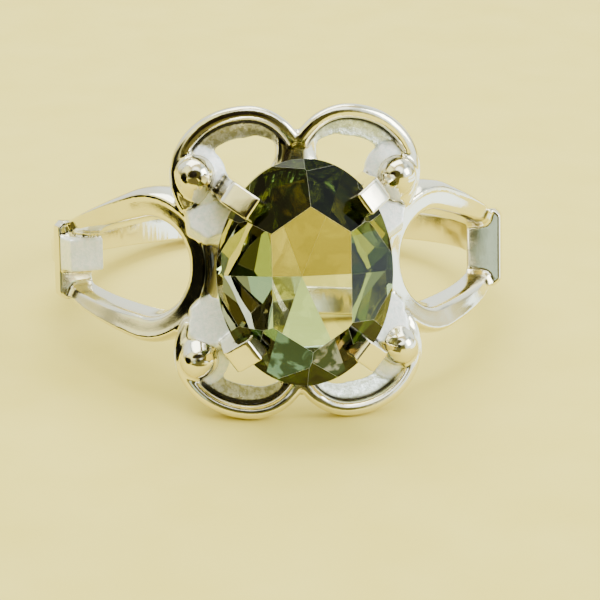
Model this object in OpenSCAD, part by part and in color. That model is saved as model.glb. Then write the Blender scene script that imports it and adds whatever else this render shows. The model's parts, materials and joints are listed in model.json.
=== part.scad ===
// Openwork ring with one oval stone, lying on its side with the stone in front.
// The ring is drawn upright round its finger axis, head towards -Y, and is then
// tipped back on to the lowest points of its scroll frame and shank.

/* [Finger size] */
// Diameter of the finger hole
finger_d = 17.5; // [15:0.1:21]

/* [Shank] */
// Width of the shank wire along the finger
shank_w = 1.3; // [1:0.05:1.6]
// Thickness of the shank wire
shank_t = 1.2; // [1:0.05:1.3]
// Flat taken off the outer corners of the wire
shank_edge = 0.22; // [0.1:0.02:0.4]
// Angle from the head at which each end of the wire stops
shank_end = 71.5; // [70:0.5:73]
// Length of the filed block that stands out of the left collar
block_l = 1.15; // [0.4:0.05:1.3]
// Width of that block along the finger
block_w = 1.4; // [1.35:0.05:1.6]
// Thickness of that block
block_t = 1.42; // [1.32:0.02:1.46]
// How far that block sits below the middle of the head
block_drop = 0; // [0:0.05:0.2]
// How far the shank sits below the middle of the head
shank_drop = 0.2; // [0:0.05:0.25]

/* [Collars] */
// Angle from the head to the front of each collar plate
collar_angle = 69.5; // [68:0.5:70]
// Thickness of a collar plate
collar_t = 0.7; // [0.5:0.05:0.9]
// Height of a collar plate along the finger
collar_h = 3.4; // [3:0.05:3.6]
// Depth of a collar plate, out from the finger hole
collar_out = 1.5; // [1.4:0.05:1.7]
// Slope cut off a collar's two outer corners
collar_corner = 0.25; // [0.15:0.05:0.6]

/* [Shoulder loops] */
// Distance round the ring from the middle of the head to a loop's round end centre
loop_from_head = 6.75; // [6.6:0.05:7]
// Radius of the loop's round end
loop_round = 3.25; // [3:0.05:3.3]
// Angle at which the loop's sides run in towards the collar
loop_taper = 15.5; // [15:0.5:17]
// Distance round the ring from the middle of the head to the hole's round end centre
hole_from_head = 6.7; // [6.6:0.05:6.9]
// Radius of the round end of the loop's hole
hole_round = 1.9; // [1.8:0.05:2.05]
// Angle at which the hole's sides run in towards the collar
hole_taper = 9; // [8.5:0.5:12]
// How far the hole sits below the middle of the loop
hole_drop = 0.05; // [0:0.05:0.2]
// How far the collars sit below the middle of the head
collar_drop = 0.3; // [0:0.05:0.35]
// Rise of the loop above the finger hole at the head
loop_rise = 1.6; // [1.4:0.05:1.7]
// Rise of the loop above the finger hole at the collar
loop_rise_end = 1.1; // [1:0.05:1.2]

/* [Scroll frame] */
// Height of the frame's lower half from the middle of the head
frame_half = 6.2; // [6:0.05:6.4]
// Height of the frame's upper half from the middle of the head
frame_top = 6.5; // [6.2:0.05:6.6]
// Width of each half of the frame from the middle of the head
frame_side = 5.1; // [5:0.05:5.2]
// Distance of each lobe's crest from the middle of the head
crest_x = 2; // [1.9:0.05:2.1]
// Half width of a lobe on its inner side
lobe_inner = 2.5; // [2.4:0.05:2.6]
// Rise of a lobe from its centre to its crest
lobe_rise = 2.65; // [2.5:0.05:2.8]
// Distance of the frame's middle plane in front of the finger axis
frame_out = 10.3; // [10.2:0.05:10.4]
// How far the frame bends back at its widest place
frame_bend = 0.9; // [0.8:0.05:1]

/* [Corner balls] */
// Diameter of each ball
ball_d = 1.52; // [1.4:0.02:1.6]
// Sideways distance of each ball from the middle of the head
ball_x = 4.1; // [4:0.05:4.3]
// Distance of each ball along the finger from the middle of the head
ball_z = 3.6; // [3.4:0.05:3.7]
// Distance of each ball's centre in front of the finger axis
ball_out = 9.95; // [9.8:0.05:10.1]

/* [Claws] */
// Width of a claw
claw_w = 0.98; // [0.9:0.02:1.1]
// Distance of a claw's outer face outside the stone
claw_outside = 0.6; // [0.5:0.05:0.7]
// How far a claw reaches in over the stone
claw_reach = 0.95; // [0.8:0.05:1.1]
// Height of a claw's tip above the stone's girdle
claw_top = 1.45; // [1.3:0.05:1.6]
// Length of the slope that ends a claw's tip
claw_slope = 0.45; // [0.3:0.05:0.6]

/* [Seat] */
// Width of the rail under the stone
rail_w = 0.6; // [0.5:0.05:0.7]
// Distance of the rail in from the stone's edge
rail_inset = 0.65; // [0.6:0.05:0.8]
// Width of the two stems between the rail and the scrolls
stem_w = 1.8; // [1.5:0.05:2]

/* [Stone] */
// Width of the stone
stone_w = 7; // [6.8:0.05:7.2]
// Length of the stone along the finger
stone_l = 9; // [8.8:0.05:9.2]
// Distance of the stone's girdle in front of the finger axis
girdle_out = 12.45; // [12.3:0.05:12.6]
// Height of the table above the girdle
crown_h = 1.45; // [1.3:0.05:1.6]
// Depth of the culet below the girdle
pavilion_h = 2.6; // [2.4:0.05:2.7]
// Thickness of the girdle
girdle_t = 0.16; // [0.1:0.02:0.24]
// Width of the six-sided table
table_w = 3.1; // [2.9:0.05:3.3]
// Length of the six-sided table, point to point
table_l = 5.7; // [5.5:0.05:5.9]
// Gap between the stone and the silver
stone_gap = 0.04; // [0.03:0.01:0.06]

/* [Hidden] */
bore_r = finger_d / 2;
spare = 0.3;
around = 96;

// The outline's reference radius turns a distance round the ring into an angle.
face_r = bore_r + loop_rise;
// The loops run on a little way into the collars.
loop_end = (collar_angle * PI / 180) * face_r + spare;

lobe_outer = frame_side - crest_x;
lobe_z = frame_half - lobe_rise;

// Turns distance round the ring, place along the finger and radius into a point.
function on_ring(s, z, r) =
    let (a = s / face_r * 180 / PI)
    [r * sin(a), -r * cos(a), z];

function mix(a, b, t) = a + (b - a) * t;

// Sews rows of points, each the same length, into one closed solid.
module lofted(rows) {
    n = len(rows[0]);
    last = (len(rows) - 1) * n;
    polyhedron(
        points = [for (row = rows) for (p = row) p],
        faces = concat(
            [for (i = [0:len(rows) - 2]) for (j = [0:n - 1])
                [i * n + j, (i + 1) * n + j, i * n + (j + 1) % n]],
            [for (i = [0:len(rows) - 2]) for (j = [0:n - 1])
                [(i + 1) * n + j, (i + 1) * n + (j + 1) % n, i * n + (j + 1) % n]],
            [[for (j = [0:n - 1]) j]],
            [[for (j = [0:n - 1]) last + n - 1 - j]]
        )
    );
}

// Draws its children in each of the head's four corners.
module in_corners() {
    for (side = [0, 1]) for (end = [0, 1])
        mirror([side, 0, 0]) mirror([0, 0, end]) children();
}

// Draws its children on both sides of the head.
module on_sides() {
    for (side = [0, 1]) mirror([side, 0, 0]) children();
}

// Faces its children towards the viewer: their x and y become X and Z.
module facing(out) {
    translate([0, -out, 0]) rotate([90, 0, 0]) children();
}

// Shank

module shank_section() {
    h = shank_w / 2;
    t = shank_t + spare;
    translate([bore_r - spare, 0]) polygon([
        [0, -h], [t - shank_edge, -h], [t, -h + shank_edge],
        [t, h - shank_edge], [t - shank_edge, h], [0, h]
    ]);
}

module shank() {
    translate([0, 0, -shank_drop]) rotate([0, 0, shank_end - 90])
        rotate_extrude(angle = 360 - 2 * shank_end, $fn = around) shank_section();
}

// The left end of the wire is filed to a block that stands out in front of its collar.
module end_block() {
    mirror([1, 0, 0]) rotate([0, 0, collar_angle])
        translate([-block_l, -bore_r - block_t, -block_w / 2 - block_drop])
            cube([block_l + collar_t / 2, block_t + spare, block_w]);
}

// Collars

module collar() {
    h = collar_h / 2;
    c = collar_corner;
    outer = bore_r + collar_out;
    rotate([0, 0, collar_angle]) translate([collar_t, 0, -collar_drop])
        rotate([0, -90, 0]) linear_extrude(collar_t) polygon([
            [-h, -bore_r + spare], [-h, -outer + c], [c - h, -outer],
            [h - c, -outer], [h, -outer + c], [h, -bore_r + spare]
        ]);
}

// Shoulder loops

// Outline of a drop: a round end with straight sides running in to the collar.
function drop_outline(round_r, taper, centre, arc_steps = 18, side_steps = 6) =
    let (
        a = 90 - taper,
        run = loop_end - centre[0] - round_r * cos(a),
        touch = [centre[0] + round_r * cos(a), round_r * sin(a)],
        side = [for (i = [0:side_steps - 1])
            touch + [run, -run * tan(taper)] * (1 - i / side_steps)],
        arc = [for (i = [0:arc_steps])
            let (t = -a - i * (360 - 2 * a) / arc_steps)
            centre + round_r * [cos(t), sin(t)]]
    )
    concat(
        [for (p = side) [p[0], centre[1] - p[1]]],
        arc,
        [for (i = [side_steps - 1:-1:0]) [side[i][0], centre[1] + side[i][1]]]
    );

// Cross-section of a loop's arm: share of its width from the outside, share of its rise.
arm_section = [
    [0, 0.5], [0.07, 0.8], [0.26, 1], [0.5, 0.98],
    [0.74, 0.8], [0.9, 0.5], [1, 0.12]
];

function arm_row(outer, inner) =
    let (
        t = (outer[0] - loop_from_head + loop_round)
            / (loop_end - loop_from_head + loop_round),
        rise = mix(loop_rise, loop_rise_end, t),
        sag = -collar_drop * t,
        base = bore_r - spare
    )
    concat(
        [on_ring(outer[0], outer[1] + sag, base)],
        [for (c = arm_section)
            let (p = mix(outer, inner, c[0]))
            on_ring(p[0], p[1] + sag, bore_r + rise * c[1])],
        [on_ring(inner[0], inner[1] + sag, base)]
    );

module shoulder_loop() {
    outer = drop_outline(loop_round, loop_taper, [loop_from_head, 0]);
    inner = drop_outline(hole_round, hole_taper, [hole_from_head, -hole_drop]);
    lofted([for (i = [0:len(outer) - 1]) arm_row(outer[i], inner[i])]);
}

// Scroll frame

// Along a lobe: angle round it, full width of the lobe, share of the rim's height.
lobe_stations = [
    [150, 0.8, 0.75], [128, 1.05, 0.95], [90, 1.35, 1], [50, 1.35, 1],
    [20, 1.1, 0.9], [-5, 0.8, 0.75], [-32, 0.6, 0.55]
];
lobe_widths = [for (row = [6:-1:0]) [lobe_stations[row][0], lobe_stations[row][1]]];
lobe_heights = [for (row = [6:-1:0]) [lobe_stations[row][0], lobe_stations[row][2]]];
rim_w = 0.5;

// Cross-section of a lobe: place on the rim, share of the dished part, depth behind.
lobe_section = [
    [0.1, 0, 0.5], [0, 0, 0.15], [0, 0, -0.25], [0.1, 0, -0.44], [0.24, 0, -0.5],
    [0.4, 0, -0.42], [0.5, 0, -0.08], [0.5, 0.85, 0.18], [0.5, 1, 0.32], [0.4, 0.9, 0.5]
];

function bend_at(x) = frame_bend * pow(x / frame_side, 2);

// The upper lobes are taller: half of the extra lifts them, half stretches them.
function lobe_row(angle, extra) =
    let (
        half = angle > 90 ? lobe_inner : lobe_outer,
        rise = lobe_rise + extra,
        edge = [crest_x + half * cos(angle), lobe_z + extra + rise * sin(angle)],
        slope = [cos(angle) / half, sin(angle) / rise],
        inward = -slope / norm(slope),
        dish = lookup(angle, lobe_widths) - rim_w,
        tall = lookup(angle, lobe_heights)
    )
    [for (c = lobe_section)
        let (p = edge + inward * (c[0] + c[1] * dish))
        [p[0], -frame_out + bend_at(p[0]) + c[2] * (c[2] < 0 ? tall : 1), p[1]]];

module lobe(extra = 0, steps = 26) {
    from = lobe_stations[0][0];
    to = lobe_stations[6][0];
    lofted([for (i = [0:steps]) lobe_row(mix(from, to, i / steps), extra)]);
}

// Inner end of a scroll: a disc under its ball, sloped off towards its edge.
module curl() {
    curl_r = 1.14;
    slope_r = 0.6;
    centre = [3.95, 3.7];
    facing(frame_out - bend_at(centre[0]) - 0.05) translate(centre) {
        translate([0, 0, -0.45]) cylinder(h = 0.43, r = curl_r, $fn = around);
        translate([0, 0, -0.02]) cylinder(h = 0.22, r1 = curl_r, r2 = slope_r, $fn = around);
    }
}

// Solder web between the root of a claw, the scroll's curl and the loop.
module web() {
    facing(8.9) linear_extrude(0.95) polygon([
        [2.45, 2.9], [3.3, 3.3], [4.5, 2.8], [4.35, 1.6], [3.7, 1.1], [2.6, 1.5]
    ]);
}

module scroll_frame() {
    on_sides() {
        lobe((frame_top - frame_half) / 2);
        mirror([0, 0, 1]) lobe();
    }
    in_corners() {
        curl();
        web();
    }
}

// Corner balls

// Hand-set differences: side, end, how much further from the middle of the head.
ball_shifts = [[0, 0, -0.05], [1, 0, 0.15], [0, 1, -0.15], [1, 1, 0.15]];

module ball(shift) {
    foot_x = 4.15;
    foot_z = 2.4;
    foot_out = 9.15;
    centre = [ball_x, -ball_out, ball_z + shift];
    down = [foot_x, -foot_out, foot_z] - centre;
    translate(centre) {
        sphere(d = ball_d, $fn = 48);
        rotate([0, acos(down[2] / norm(down)), atan2(down[1], down[0])])
            cylinder(h = norm(down), r1 = ball_d * 0.46, r2 = ball_d * 0.36, $fn = 48);
    }
}

module corner_balls() {
    for (b = ball_shifts) mirror([b[0], 0, 0]) mirror([0, 0, b[1]]) ball(b[2]);
}

// Seat

module oval(half_w, half_l, steps = 48) {
    polygon([for (i = [0:steps - 1])
        [half_w * cos(i * 360 / steps), half_l * sin(i * 360 / steps)]]);
}

// Where the upper and the lower stem end, from the middle of the head.
stem_ends = [5.5, 5.25];

module seat() {
    outer_w = stone_w / 2 - rail_inset;
    outer_l = stone_l / 2 - rail_inset;
    facing(9.75) {
        linear_extrude(0.7) difference() {
            oval(outer_w, outer_l);
            oval(outer_w - rail_w, outer_l - rail_w);
        }
        for (end = [0, 1]) mirror([0, end])
            translate([-stem_w / 2, outer_l - rail_w / 2])
                linear_extrude(0.62) square([stem_w, stem_ends[end] - outer_l + rail_w / 2]);
    }
}

// Stone

// Distance from the middle of the stone to its edge, for a facet turned to an angle.
function reach(turn) =
    norm([stone_w / 2 * cos(turn), stone_l / 2 * sin(turn)]);

// Turn of the edge at a place on the oval.
function edge_turn(place) =
    atan2(sin(place) / stone_l, cos(place) / stone_w);

table_middle = [0.11, -0.11];
culet = [0, -0.3];
side_half = table_l * 0.32;
bevel_turn = atan2(table_w / 2, table_l / 2 - side_half);
bevel_reach = table_l / 2 * sin(bevel_turn);

// Six long crown facets, one from each edge of the table: turn, table edge's distance.
crown_mains = concat(
    [for (turn = [0, 180]) [turn, table_w / 2]],
    [for (turn = [bevel_turn, 180 - bevel_turn, 180 + bevel_turn, -bevel_turn])
        [turn, bevel_reach]]
);
pavilion_turns = [30, 90, 150, 210, 270, 330];
girdle_turns = [for (i = [0:11]) edge_turn(15 + i * 30)];
crown_break = 47;
pavilion_break = 52;

// Half space beyond a facet that leans in from the girdle.
module beyond(turn, lean, up, grow) {
    size = 20;
    edge = reach(turn);
    mirror([0, 0, up ? 0 : 1]) rotate([0, 0, turn])
        translate([edge, 0, girdle_t / 2]) rotate([0, lean, 0])
            translate([-size / 2, -size / 2, grow]) cube([size, size, size]);
}

module cut_stone(grow = 0) {
    difference() {
        translate([0, 0, -pavilion_h - grow])
            linear_extrude(pavilion_h + crown_h + 2 * grow)
                oval(stone_w / 2 + grow, stone_l / 2 + grow);
        for (m = crown_mains) {
            run = reach(m[0]) - m[1] - table_middle * [cos(m[0]), sin(m[0])];
            beyond(m[0], atan2(crown_h - girdle_t / 2, run), true, grow);
        }
        for (turn = girdle_turns) beyond(turn, crown_break, true, grow);
        for (turn = pavilion_turns) {
            run = reach(turn) - culet * [cos(turn), sin(turn)];
            beyond(turn, atan2(pavilion_h - girdle_t / 2, run), false, grow);
        }
        for (turn = girdle_turns) beyond(turn, pavilion_break, false, grow);
    }
}

// Claws

// Each claw: side, end, its place on the oval from straight across, share of full reach.
claws = [
    [-1, 1, 42, 1.05], [1, 1, 42, 0.9], [-1, -1, 43, 0.95], [1, -1, 46, 0.9]
];

// Side of a claw: distance out from the stone's edge, height above the girdle.
function claw_side(share) =
    let (tip = claw_reach * share)
    [
        [-0.5, -2.95], [claw_outside - 0.05, -2.95], [claw_outside, 0.55],
        [claw_outside - 0.07, 0.78], [claw_outside - 0.2, 0.9],
        [claw_slope - tip, claw_top], [0.04 - tip, claw_top - claw_slope],
        [-tip, claw_top - claw_slope - 0.1], [-tip, 0.3], [-0.5, -0.3]
    ];

module claw(place, share) {
    translate([stone_w / 2 * cos(place), stone_l / 2 * sin(place)])
        rotate([0, 0, edge_turn(place)]) rotate([90, 0, 0])
            translate([0, 0, -claw_w / 2]) linear_extrude(claw_w) polygon(claw_side(share));
}

module claw_set() {
    facing(girdle_out) difference() {
        for (c = claws)
            mirror([c[0] < 0 ? 1 : 0, 0]) mirror([0, c[1] < 0 ? 1 : 0]) claw(c[2], c[3]);
        cut_stone(stone_gap);
    }
}

// Rest

// The ring lies on the two bottom scrolls and on the back of the shank.
scroll_foot = [bend_at(crest_x) + lobe_section[1][2] - frame_out, -frame_half];
shank_foot = [bore_r + shank_t - shank_edge, -shank_w / 2 - shank_drop];
foot_run = shank_foot - scroll_foot;
rest_tilt = atan2(foot_run[1], foot_run[0]);

// Height of a point, and its distance back, once the ring is tipped.
function tipped_up(p) = p[1] * cos(rest_tilt) - p[0] * sin(rest_tilt);
function tipped_back(p) = p[0] * cos(rest_tilt) + p[1] * sin(rest_tilt);

// Foremost point of a lower claw: the ring's front. Its back is the shank's outer face.
function claw_front(c) =
    let (turn = edge_turn(c[2]))
    min([for (p = claw_side(c[3]))
        tipped_back([
            -girdle_out - p[1],
            -stone_l / 2 * sin(c[2]) - p[0] * sin(turn) - claw_w / 2 * cos(turn)
        ])]);
front = min([for (c = claws) if (c[1] < 0) claw_front(c)]);
back = tipped_back([bore_r + shank_t, shank_w / 2 - shank_edge - shank_drop]);

// The origin is on the surface, under the middle of the ring's length and width.
module at_rest() {
    translate([0, -(front + back) / 2, -tipped_up(scroll_foot)])
        rotate([-rest_tilt, 0, 0]) children();
}

// Nodes

module silver_mount() {
    color("silver") at_rest() difference() {
        union() {
            shank();
            end_block();
            on_sides() collar();
            on_sides() shoulder_loop();
            scroll_frame();
            corner_balls();
            seat();
            claw_set();
        }
        translate([0, 0, -frame_half])
            cylinder(h = 2 * frame_half, r = bore_r, $fn = around);
    }
}

module stone() {
    color("palegoldenrod", 0.5) at_rest() facing(girdle_out) cut_stone();
}

silver_mount();
stone();
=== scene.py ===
# %% [markdown]
# # A silver ring with one oval stone
# The object is a small openwork ring. Drop-shaped loops carry the finger band up to a
# scrolled frame, and four square claws hold a pale, six-sided cut stone over it.
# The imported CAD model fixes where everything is. This script forges the silver as one
# soldered body, cuts the stone facet by facet, and gives each its finish.

import json
from math import acos, atan2, cos, degrees, pi, radians, sin, tan

import bmesh
import bpy
import numpy as np
from mathutils import Matrix, Vector
from mathutils.bvhtree import BVHTree


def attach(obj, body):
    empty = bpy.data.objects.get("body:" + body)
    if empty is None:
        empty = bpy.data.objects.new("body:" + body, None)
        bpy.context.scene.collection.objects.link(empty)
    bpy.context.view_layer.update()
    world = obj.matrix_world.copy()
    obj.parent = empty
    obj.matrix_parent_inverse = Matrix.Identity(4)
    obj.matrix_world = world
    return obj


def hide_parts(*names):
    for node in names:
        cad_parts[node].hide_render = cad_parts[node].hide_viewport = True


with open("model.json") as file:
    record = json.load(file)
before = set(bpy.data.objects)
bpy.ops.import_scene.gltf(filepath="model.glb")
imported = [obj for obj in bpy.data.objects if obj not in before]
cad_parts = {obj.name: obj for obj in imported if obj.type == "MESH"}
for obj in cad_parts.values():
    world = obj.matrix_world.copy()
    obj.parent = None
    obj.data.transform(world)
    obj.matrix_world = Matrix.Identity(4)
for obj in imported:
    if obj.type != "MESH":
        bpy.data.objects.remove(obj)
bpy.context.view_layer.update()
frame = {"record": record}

# %% [markdown]
# ## The ring's own axes
# A goldsmith thinks of a ring round its finger hole. So all shapes are made in
# millimetres, upright round the finger axis, with the head towards -Y. One matrix, read
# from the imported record, then lays each finished piece on its side. That is simpler than
# building on a slant.

# %% Lay the ring on its side
MM = 0.001
finger_hole = frame["record"]["mounts"][0]
lean = atan2(finger_hole["axis"][1], finger_hole["axis"][2])
laid_down = Matrix.Translation(finger_hole["pos_m"]) @ Matrix.Rotation(-lean, 4, "X")
laid_down = laid_down @ Matrix.Scale(MM, 4)
finger_r = finger_hole["dims"]["r_mm"]
print("the ring leans back by", round(degrees(lean), 2), "degrees")

# %% [markdown]
# ## Camera
# The photograph was taken with a long lens, from well above the ring and a little to its
# left. The place, the aim and the slight roll come from matching points of the model to
# the picture. Aiming does the framing, so the camera needs no lens shift.

# %% Set up the camera
camera_place = Vector((-9.38, -88.59, 39.34)) * MM
camera_aim = Vector((-0.23, -10.11, 5.63)) * MM
camera_roll = 0.79
camera_lens = 131
nearest_seen, farthest_seen = 0.005, 20


def turned(angle, axis):
    return Matrix.Rotation(radians(angle), 4, axis)


def as_object(name, data):
    """A camera, a lamp or a mesh, put into the scene."""
    thing = bpy.data.objects.new(name, data)
    bpy.context.scene.collection.objects.link(thing)
    return thing


camera = as_object("camera", bpy.data.cameras.new("camera"))
camera.data.lens = camera_lens
camera.data.clip_start = nearest_seen
camera.data.clip_end = farthest_seen
aimed = (camera_aim - camera_place).to_track_quat("-Z", "Y").to_matrix().to_4x4()
camera.matrix_world = Matrix.Translation(camera_place) @ aimed @ turned(camera_roll, "Z")
bpy.context.scene.camera = camera
print("camera is", round((camera_aim - camera_place).length / MM, 1), "mm from its aim")

# %% [markdown]
# ## Nodes in a few words
# Every finish below is a small tree of shader nodes. A few helpers keep the trees
# readable: they add a node with its settings and inputs, feed a socket with a value or a
# link, start a material and give it its surface, and add what most trees need: soft
# noise, a mix of two colours and a place or colour times a factor.

# %% Helpers for shader nodes
def add_node(tree, kind, settings=None, **inputs):
    """A shader node. Settings are its own fields; inputs are sockets, fed by value or link."""
    node = tree.nodes.new("ShaderNode" + kind)
    for name, value in (settings or {}).items():
        setattr(node, name, value)
    for name, value in inputs.items():
        key = int(name[1:]) if name[0] == "_" else name.replace("_", " ")
        feed(tree, node.inputs[key], value)
    return node


def feed(tree, socket, value):
    """Links a socket to another node's output, or sets it to a plain value."""
    if isinstance(value, bpy.types.NodeSocket):
        tree.links.new(value, socket)
    else:
        socket.default_value = value


def new_material(name):
    """An empty material, its tree and its output node."""
    material = bpy.data.materials.new(name)
    material.use_nodes = True
    material.node_tree.nodes.clear()
    output = add_node(material.node_tree, "OutputMaterial")
    return material, material.node_tree, output


def coat(tree, output, kind, **inputs):
    """Adds a shader as the surface of a material."""
    feed(tree, output.inputs["Surface"], add_node(tree, kind, **inputs).outputs[0])


def noise(tree, place, scale, detail, **more):
    """Soft spots between 0 and 1, smaller where the scale is larger."""
    spots = add_node(tree, "TexNoise", Vector=place, Scale=scale, Detail=detail, **more)
    return spots.outputs["Fac"]


def mixed(tree, share, first, second):
    """The colour between two others."""
    settings = {"data_type": "RGBA"}
    return add_node(tree, "Mix", settings, Factor=share, _6=first, _7=second).outputs[2]


def scaled(tree, vector, factor):
    """A place or a colour times a factor."""
    settings = {"operation": "SCALE"}
    product = add_node(tree, "VectorMath", settings, _0=vector, Scale=factor)
    return product.outputs["Vector"]


# %% [markdown]
# ## Floor
# The ring lies on a plain pale surface. Polished silver shows whatever surrounds it, so
# the floor's warm beige is half of the ring's colour. One square with a faint mottle is
# enough, as a busier floor would show in every face that looks down.

# %% Make the floor
FLOOR_TONES = (0.68, 0.56, 0.085, 1), (0.77, 0.65, 0.15, 1)
floor_half = 1200


def flat_sheet(name, corners, material):
    """A flat sheet through its corners in mm."""
    mesh = bpy.data.meshes.new(name)
    mesh.from_pydata([Vector(corner) * MM for corner in corners], [], [range(len(corners))])
    mesh.materials.append(material)
    print(name, "has", len(corners), "corners")
    return as_object(name, mesh)


def floor_finish():
    material, tree, output = new_material("pale_floor")
    place = add_node(tree, "TexCoord").outputs["Object"]
    colour = mixed(tree, noise(tree, place, scale=260, detail=4), *FLOOR_TONES)
    coat(tree, output, "BsdfPrincipled", Base_Color=colour, Roughness=0.9)
    return material


floor_corners = [(x * floor_half, y * floor_half, 0) for x, y in ((-1, -1), (1, -1), (1, 1), (-1, 1))]
floor = flat_sheet("floor", floor_corners, floor_finish())

# %% [markdown]
# ## Light
# Silver is lit by what it mirrors. The photograph was taken by daylight, so the world is
# a dome, yellowish near the ground and bluish white above, and a little uneven as a real
# sky is. Soft round patches lie over it: bright sky at the sides and behind, an olive
# shade round the lens, and something dark low on the left. A plain studio tent would be
# easier, but it would leave the silver as blank as the tent.

# %% Make the dome
# Sine of the height above the horizon, and the dome's colour there.
DOME_SHADES = [
    (0.0, (0.74, 0.66, 0.22)),
    (0.12, (0.98, 0.92, 0.42)),
    (0.30, (1.30, 1.24, 0.76)),
    (0.52, (1.40, 1.62, 1.75)),
    (1.0, (1.15, 1.32, 1.35)),
]

# What it is, turn to the right and height in degrees, outer and inner half angle, colour.
PATCHES = [
    ("sky on the right", (64, 14), (36, 22), (2.2, 2.5, 2.6)),
    ("sky behind on the right", (150, 22), (42, 20), (1.9, 2.1, 2.1)),
    ("sky behind on the left", (-150, 26), (36, 18), (1.7, 1.8, 1.7)),
    ("golden light on the left", (-66, 34), (34, 14), (2.4, 2.3, 1.1)),
    ("golden light overhead", (0, 74), (40, 26), (1.25, 1.12, 0.62)),
    ("olive shade round the lens", (0, 9), (32, 24), (0.19, 0.18, 0.05)),
    ("pale gap in the shade", (-32, 7), (9, 5), (0.9, 1.15, 1.0)),
    ("bright sky high in front", (8, 48), (26, 14), (3.8, 4.0, 4.0)),
    ("dark lens", (-6, 20), (12, 6), (0.02, 0.018, 0.01)),
    ("dark corner low on the left", (-72, 2), (26, 13), (0.02, 0.02, 0.01)),
]
BACKDROP = (0.86, 0.83, 0.74, 1)


def towards(turn, height):
    """Unit vector, turned in degrees from straight in front of the ring and raised."""
    turn, height = radians(turn), radians(height)
    level = cos(height)
    return Vector((sin(turn) * level, -cos(turn) * level, sin(height)))


def ramped(tree, value, low, high, at_low=0.0, at_high=1.0, curve="SMOOTHSTEP"):
    """A value stretched from one range to another and held there beyond its ends."""
    settings = {"interpolation_type": curve}
    ends = {"From_Min": low, "From_Max": high, "To_Min": at_low, "To_Max": at_high}
    return add_node(tree, "MapRange", settings, Value=value, **ends).outputs["Result"]


def cloudy_sky(tree, direction):
    """The dome's shades by height, brighter and darker where clouds are thin or thick."""
    height = add_node(tree, "SeparateXYZ", Vector=direction).outputs["Z"]
    sky = add_node(tree, "ValToRGB", Fac=height)
    sky.color_ramp.elements.remove(sky.color_ramp.elements[1])
    for position, shade in DOME_SHADES:
        element = sky.color_ramp.elements.new(position)
        element.color = (*shade, 1)
    clouds = noise(tree, direction, scale=3.2, detail=3)
    brightness = ramped(tree, clouds, 0.36, 0.62, at_low=0.42, at_high=1.3)
    return scaled(tree, sky.outputs["Color"], brightness)


def make_dome():
    """The world: what the silver mirrors, and a plain backdrop where the camera sees it."""
    world = bpy.data.worlds.new("dome")
    world.use_nodes = True
    tree = world.node_tree
    tree.nodes.clear()
    direction = add_node(tree, "TexCoord").outputs["Generated"]
    colour = cloudy_sky(tree, direction)
    settings = {"operation": "DOT_PRODUCT"}
    for name, place, half_angles, shade in PATCHES:
        middle = towards(*place)
        facing_it = add_node(tree, "VectorMath", settings, _0=direction, _1=middle)
        outer, inner = (cos(radians(angle)) for angle in half_angles)
        share = ramped(tree, facing_it.outputs["Value"], outer, inner)
        colour = mixed(tree, share, colour, (*shade, 1))
        print(name, "at", place)
    dome = add_node(tree, "Background", Color=colour, Strength=1.0)
    seen = add_node(tree, "Background", Color=BACKDROP, Strength=1.0)
    to_camera = add_node(tree, "LightPath").outputs["Is Camera Ray"]
    both = add_node(tree, "MixShader", _0=to_camera, _1=dome.outputs[0], _2=seen.outputs[0])
    add_node(tree, "OutputWorld", Surface=both.outputs[0])
    bpy.context.scene.world = world


make_dome()

# %% [markdown]
# ## Cards
# Polished metal shows a flat card as a clean band, so a jeweller sets small cards just
# outside the picture. Black ones draw the black band in the left loop, a brown one lying
# in front stands for shade on the floor there and warms what faces down, and white ones
# bleach the right loop. An umber oval with a smaller dark one hangs where the lens would
# be, and gives the balls their dark centres. Patches on the dome can't do this, because
# they are soft and far away. The cards show only in reflections and through the stone,
# and throw no shadow.

# %% Put up the cards
BLACK, BROWN, WHITE = (0.006, 0.006, 0.004), (0.21, 0.18, 0.05), (3.2, 3.8, 4.0)
UMBER, LENS = (0.115, 0.10, 0.022), (0.02, 0.013, 0.006)


def put_card(name, corners, glow):
    """A glowing card that the camera itself doesn't see."""
    material, tree, output = new_material(name)
    coat(tree, output, "Emission", Color=(*glow, 1), Strength=1.0)
    card = flat_sheet(name, corners, material)
    card.visible_camera = card.visible_diffuse = card.visible_shadow = False


def stand_card(name, left, right, height, glow):
    """A card that stands on the floor between two places."""
    put_card(name, [(*left, 0), (*right, 0), (*right, height), (*left, height)], glow)


def oval(half_width, half_length, count):
    """Points all round an oval."""
    turns = np.linspace(0, 2 * pi, count, endpoint=False)
    return [(half_width * cos(turn), half_length * sin(turn)) for turn in turns]


def hang_oval(name, middle, wide, high, glow):
    """An oval card that hangs upright, square to the front."""
    rim = oval(wide / 2, high / 2, 32)
    put_card(name, [Vector(middle) + Vector((x, 0, z)) for x, z in rim], glow)


def lay_card(name, corners, glow, thickness=0.1):
    """A card that lies on the floor."""
    put_card(name, [(x, y, thickness) for x, y in corners], glow)


BLACK_MAT = [(-14, -10.5), (-21, -9), (-24, -8), (-40, -6), (-90, -4), (-90, -40), (-18, -22)]
SHADED_FLOOR_IN_FRONT = [(-14, -17), (-60, -60), (-300, -900), (120, -900), (4, -16)]
WHITE_MAT = [(20, -14), (29, -18), (33, 13), (22, 12)]

# Places and sizes are in mm.
stand_card("black_card", (-26.6, -24.3), (-36, -2.3), 10.5, BLACK)
lay_card("black_mat", BLACK_MAT, BLACK)
# Painted shade: a brown card lying in front stands for the shaded floor there, seen only in
# reflections.
lay_card("shaded_floor_card", SHADED_FLOOR_IN_FRONT, BROWN)
hang_oval("umber_card", (-7, -21, 18), 30, 17, UMBER)
hang_oval("lens_card", (-8, -20.5, 16), 14, 11, LENS)
stand_card("white_card", (37.5, -26), (42, 18), 6, WHITE)
lay_card("white_mat", WHITE_MAT, WHITE)

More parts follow.
